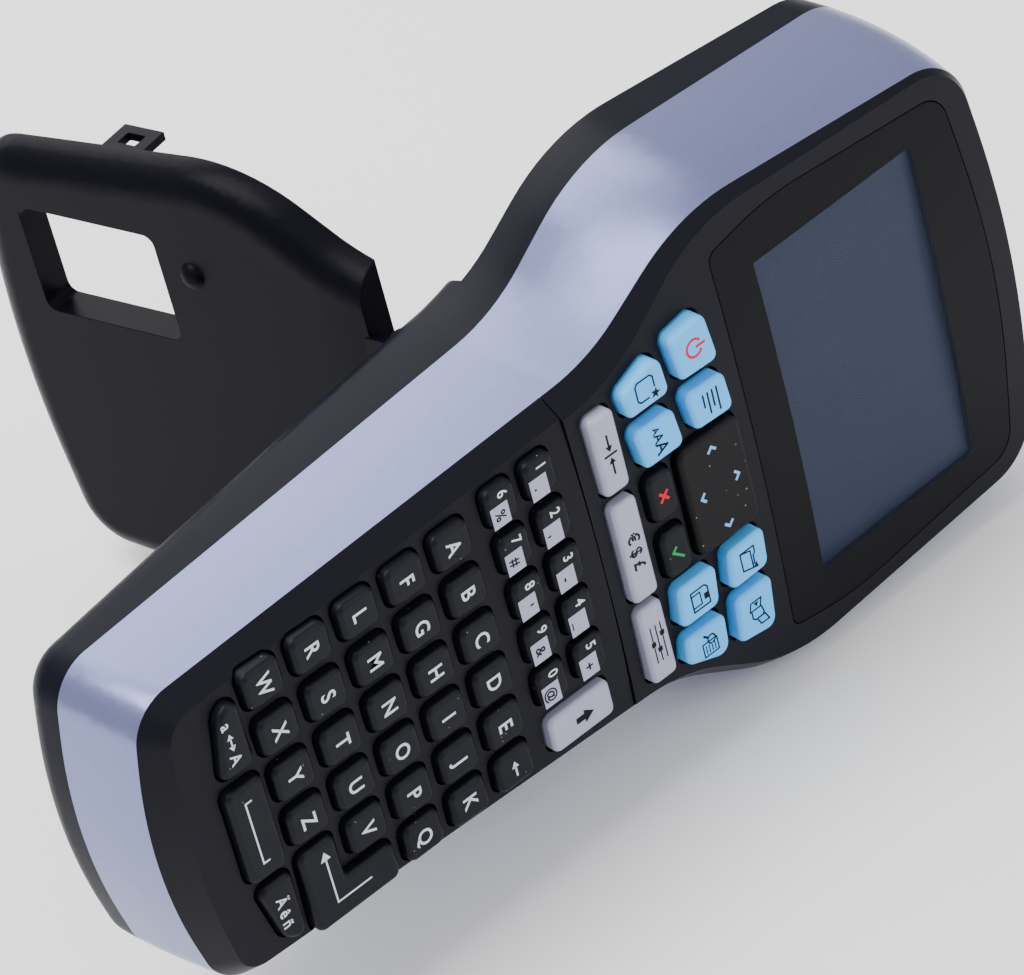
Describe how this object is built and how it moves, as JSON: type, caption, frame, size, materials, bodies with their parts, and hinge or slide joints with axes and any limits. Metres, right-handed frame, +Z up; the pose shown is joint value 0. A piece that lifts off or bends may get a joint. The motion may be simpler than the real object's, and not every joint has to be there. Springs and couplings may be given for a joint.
{
  "type": "label maker",
  "caption": "Hand-held label maker lying on its long side: keyboard handle, display head, open cassette door on the back, tape mechanism inside.",
  "frame": {"origin": "centre of the bounding box, at its base", "axes": "+X along the device from the tail to the display end, -Y out of the keyboard face, +Z up from the long side it lies on towards the keyboard's left side"},
  "size_m": [0.2148, 0.1596, 0.1053],
  "materials": {
    "band_paint": "fine metallic silver, satin",
    "shell_black": "navy-black, satin",
    "panel_black": "navy-black with a glossy chamfered rim",
    "door_black": "black with a very fine texture",
    "lens": "smoked clear lens",
    "lcd": "dark blue-grey display",
    "key_black": "soft satin",
    "key_blue": "light blue, soft gloss",
    "key_silver": "silver, soft gloss",
    "steel": "bright",
    "rubber": "soft",
    "board": "green laminate",
    "bay_grey": "satin",
    "gear_white": "natural",
    "cassette_grey": "satin",
    "tape": "white tape",
    "battery": "shrink sleeve"
  },
  "bodies": {
    "case": {"rear_shell": "shell_black", "side_band": "band_paint", "upper_panel": "panel_black", "lower_panel": "panel_black", "display_lens": "lens", "lcd_module": "lcd", "main_board": "board", "keypad_mat": "rubber", "cassette_bay": "bay_grey", "print_head": "steel", "drive_motor": "steel", "usb_port": "steel", "power_jack": "key_black", "case_screws": "steel", "door_hinge_pin": "steel", "battery_pack": "battery"},
    "door": {"cassette_door": "door_black"},
    "battery_lid": {"battery_cover": "shell_black"},
    "platen": {"platen_roller": "rubber", "platen_gear": "gear_white"},
    "idler": {"idler_gear": "gear_white"},
    "pinion": {"motor_gear": "gear_white"},
    "take_up": {"ribbon_spindle": "gear_white"},
    "cassette": {"tape_cassette": "cassette_grey"},
    "reel": {"tape_reel": "tape"},
    "cutter": {"cutter_button": "key_black"},
    "blade": {"cutter_blade": "steel"},
    "accent_key": {"accent_key": "key_black"},
    "accept_key": {"accept_key": "key_black"},
    "backspace_key": {"backspace_key": "key_black"},
    "border_key": {"border_key": "key_blue"},
    "cancel_key": {"cancel_key": "key_black"},
    "caps_key": {"caps_key": "key_black"},
    "currency_key": {"currency_key": "key_silver"},
    "cursor_pad": {"cursor_pad": "key_black"},
    "digit_key_0": {"digit_key_0": "key_black"},
    "digit_key_1": {"digit_key_1": "key_black"},
    "digit_key_2": {"digit_key_2": "key_black"},
    "digit_key_3": {"digit_key_3": "key_black"},
    "digit_key_4": {"digit_key_4": "key_black"},
    "digit_key_5": {"digit_key_5": "key_black"},
    "digit_key_6": {"digit_key_6": "key_black"},
    "digit_key_7": {"digit_key_7": "key_black"},
    "digit_key_8": {"digit_key_8": "key_black"},
    "digit_key_9": {"digit_key_9": "key_black"},
    "insert_key": {"insert_key": "key_silver"},
    "layout_key": {"layout_key": "key_blue"},
    "letters": {"letter_keys": "key_black"},
    "memory_key": {"memory_key": "key_blue"},
    "power_key": {"power_key": "key_blue"},
    "preview_key": {"preview_key": "key_blue"},
    "print_key": {"print_key": "key_blue"},
    "return_key": {"return_key": "key_black"},
    "save_key": {"save_key": "key_blue"},
    "settings_key": {"settings_key": "key_silver"},
    "shift_key": {"shift_key": "key_silver"},
    "space_key": {"space_key": "key_black"},
    "text_size_key": {"text_size_key": "key_blue"}
  },
  "joints": [
    {"name": "door_hinge", "type": "hinge", "parent": "case", "child": "door", "pos_m": [-0.00016, -0.02621, 0.05264], "axis": [0, 0, 1], "range_deg": [-102.5, 0]},
    {"name": "battery_cover_slide", "type": "slide", "parent": "case", "child": "battery_lid", "axis": [-0.9907, -0.1357, 0], "range_m": [0, 0.03]},
    {"name": "platen_spin", "type": "hinge", "parent": "case", "child": "platen", "pos_m": [0.08324, -0.05461, 0.03463], "axis": [0, 1, 0], "continuous": true},
    {"name": "idler_spin", "type": "hinge", "parent": "case", "child": "idler", "pos_m": [0.07553, -0.05461, 0.01882], "axis": [0, 1, 0], "continuous": true},
    {"name": "pinion_spin", "type": "hinge", "parent": "case", "child": "pinion", "pos_m": [0.06118, -0.05461, 0.02007], "axis": [0, 1, 0], "continuous": true},
    {"name": "take_up_spin", "type": "hinge", "parent": "case", "child": "take_up", "pos_m": [0.05924, -0.05461, 0.04863], "axis": [0, 1, 0], "continuous": true},
    {"name": "cassette_lift", "type": "slide", "parent": "case", "child": "cassette", "axis": [0, 1, 0], "range_m": [0, 0.02]},
    {"name": "reel_spin", "type": "hinge", "parent": "cassette", "child": "reel", "pos_m": [0.05024, -0.05461, 0.07064], "axis": [0, 1, 0], "continuous": true},
    {"name": "cutter_press", "type": "slide", "parent": "case", "child": "cutter", "axis": [-1, 0, 0], "range_m": [0, 0.004], "stiffness_N_per_m": 400},
    {"name": "blade_stroke", "type": "slide", "parent": "case", "child": "blade", "axis": [0, 0, 1], "range_m": [0, 0.004]},
    {"name": "press_accent_key", "type": "slide", "parent": "case", "child": "accent_key", "axis": [0, 1, 0], "range_m": [0, 0.001], "stiffness_N_per_m": 300},
    {"name": "press_accept_key", "type": "slide", "parent": "case", "child": "accept_key", "axis": [0, 1, 0], "range_m": [0, 0.001], "stiffness_N_per_m": 300},
    {"name": "press_backspace_key", "type": "slide", "parent": "case", "child": "backspace_key", "axis": [0, 1, 0], "range_m": [0, 0.001], "stiffness_N_per_m": 300},
    {"name": "press_border_key", "type": "slide", "parent": "case", "child": "border_key", "axis": [0, 1, 0], "range_m": [0, 0.001], "stiffness_N_per_m": 300},
    {"name": "press_cancel_key", "type": "slide", "parent": "case", "child": "cancel_key", "axis": [0, 1, 0], "range_m": [0, 0.001], "stiffness_N_per_m": 300},
    {"name": "press_caps_key", "type": "slide", "parent": "case", "child": "caps_key", "axis": [0, 1, 0], "range_m": [0, 0.001], "stiffness_N_per_m": 300},
    {"name": "press_currency_key", "type": "slide", "parent": "case", "child": "currency_key", "axis": [0, 1, 0], "range_m": [0, 0.001], "stiffness_N_per_m": 300},
    {"name": "press_cursor_pad", "type": "slide", "parent": "case", "child": "cursor_pad", "axis": [0, 1, 0], "range_m": [0, 0.001], "stiffness_N_per_m": 300},
    {"name": "press_digit_key_0", "type": "slide", "parent": "case", "child": "digit_key_0", "axis": [0, 1, 0], "range_m": [0, 0.001], "stiffness_N_per_m": 300},
    {"name": "press_digit_key_1", "type": "slide", "parent": "case", "child": "digit_key_1", "axis": [0, 1, 0], "range_m": [0, 0.001], "stiffness_N_per_m": 300},
    {"name": "press_digit_key_2", "type": "slide", "parent": "case", "child": "digit_key_2", "axis": [0, 1, 0], "range_m": [0, 0.001], "stiffness_N_per_m": 300},
    {"name": "press_digit_key_3", "type": "slide", "parent": "case", "child": "digit_key_3", "axis": [0, 1, 0], "range_m": [0, 0.001], "stiffness_N_per_m": 300},
    {"name": "press_digit_key_4", "type": "slide", "parent": "case", "child": "digit_key_4", "axis": [0, 1, 0], "range_m": [0, 0.001], "stiffness_N_per_m": 300},
    {"name": "press_digit_key_5", "type": "slide", "parent": "case", "child": "digit_key_5", "axis": [0, 1, 0], "range_m": [0, 0.001], "stiffness_N_per_m": 300},
    {"name": "press_digit_key_6", "type": "slide", "parent": "case", "child": "digit_key_6", "axis": [0, 1, 0], "range_m": [0, 0.001], "stiffness_N_per_m": 300},
    {"name": "press_digit_key_7", "type": "slide", "parent": "case", "child": "digit_key_7", "axis": [0, 1, 0], "range_m": [0, 0.001], "stiffness_N_per_m": 300},
    {"name": "press_digit_key_8", "type": "slide", "parent": "case", "child": "digit_key_8", "axis": [0, 1, 0], "range_m": [0, 0.001], "stiffness_N_per_m": 300},
    {"name": "press_digit_key_9", "type": "slide", "parent": "case", "child": "digit_key_9", "axis": [0, 1, 0], "range_m": [0, 0.001], "stiffness_N_per_m": 300},
    {"name": "press_insert_key", "type": "slide", "parent": "case", "child": "insert_key", "axis": [0, 1, 0], "range_m": [0, 0.001], "stiffness_N_per_m": 300},
    {"name": "press_layout_key", "type": "slide", "parent": "case", "child": "layout_key", "axis": [0, 1, 0], "range_m": [0, 0.001], "stiffness_N_per_m": 300},
    {"name": "press_letter_keys", "type": "slide", "parent": "case", "child": "letters", "axis": [0, 1, 0], "range_m": [0, 0.001], "stiffness_N_per_m": 1500},
    {"name": "press_memory_key", "type": "slide", "parent": "case", "child": "memory_key", "axis": [0, 1, 0], "range_m": [0, 0.001], "stiffness_N_per_m": 300},
    {"name": "press_power_key", "type": "slide", "parent": "case", "child": "power_key", "axis": [0, 1, 0], "range_m": [0, 0.001], "stiffness_N_per_m": 300},
    {"name": "press_preview_key", "type": "slide", "parent": "case", "child": "preview_key", "axis": [0, 1, 0], "range_m": [0, 0.001], "stiffness_N_per_m": 300},
    {"name": "press_print_key", "type": "slide", "parent": "case", "child": "print_key", "axis": [0, 1, 0], "range_m": [0, 0.001], "stiffness_N_per_m": 300},
    {"name": "press_return_key", "type": "slide", "parent": "case", "child": "return_key", "axis": [0, 1, 0], "range_m": [0, 0.001], "stiffness_N_per_m": 300},
    {"name": "press_save_key", "type": "slide", "parent": "case", "child": "save_key", "axis": [0, 1, 0], "range_m": [0, 0.001], "stiffness_N_per_m": 300},
    {"name": "press_settings_key", "type": "slide", "parent": "case", "child": "settings_key", "axis": [0, 1, 0], "range_m": [0, 0.001], "stiffness_N_per_m": 300},
    {"name": "press_shift_key", "type": "slide", "parent": "case", "child": "shift_key", "axis": [0, 1, 0], "range_m": [0, 0.001], "stiffness_N_per_m": 300},
    {"name": "press_space_key", "type": "slide", "parent": "case", "child": "space_key", "axis": [0, 1, 0], "range_m": [0, 0.001], "stiffness_N_per_m": 300},
    {"name": "press_text_size_key", "type": "slide", "parent": "case", "child": "text_size_key", "axis": [0, 1, 0], "range_m": [0, 0.001], "stiffness_N_per_m": 300}
  ],
  "couplings": [
    {"joint": "idler_spin", "follows": "platen_spin", "ratio": -0.83333},
    {"joint": "pinion_spin", "follows": "platen_spin", "ratio": 1.6667},
    {"joint": "blade_stroke", "follows": "cutter_press", "ratio": 1}
  ]
}
